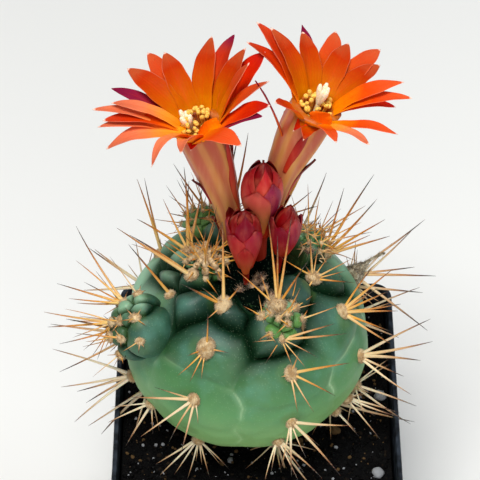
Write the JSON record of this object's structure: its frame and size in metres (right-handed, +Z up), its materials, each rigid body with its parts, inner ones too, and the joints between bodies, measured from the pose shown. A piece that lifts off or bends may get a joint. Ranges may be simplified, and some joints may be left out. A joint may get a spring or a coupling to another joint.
{
  "type": "potted flowering ball cactus",
  "caption": "Ribbed ball cactus with pups, long spines, open funnel flowers and buds, standing in soil in a square nursery pot.",
  "frame": {"origin": "middle of the underside of the pot", "axes": "+Z up through the plant; -Y towards the side on which the front pup and the lowest open flower petals show; +X to the right of that view"},
  "size_m": [0.0918, 0.0907, 0.1598],
  "materials": {
    "pot_plastic": "black moulded plastic, satin, dusty along the rim",
    "potting_mix": "dark crumbly potting mix with pale mineral specks",
    "skin": "waxy green skin, blue-green and dark between the upper tubercles, paler and yellower low down",
    "petals": "silky orange petals, yellow-orange in the throat, salmon at the tips",
    "bud_scales": "waxy crimson scales with pink and orange highlights",
    "pollen": "powdery yellow anthers",
    "stigma": "matte cream lobes",
    "dry_wool": "dry grey-brown wool and withered petals"
  },
  "bodies": {
    "root": {"pot": "pot_plastic", "soil": "potting_mix", "stem": "skin", "pup_left": "skin", "pup_front": "skin", "pup_crown": "skin", "pup_back_left": "skin", "pup_back_right": "skin", "flower_left": "petals", "flower_right": "petals", "bud_tall": "bud_scales", "bud_left": "bud_scales", "bud_right": "bud_scales", "stamens_left": "pollen", "stamens_right": "pollen", "pistil_left": "stigma", "pistil_right": "stigma", "withered_flower": "dry_wool"}
  },
  "joints": []
}
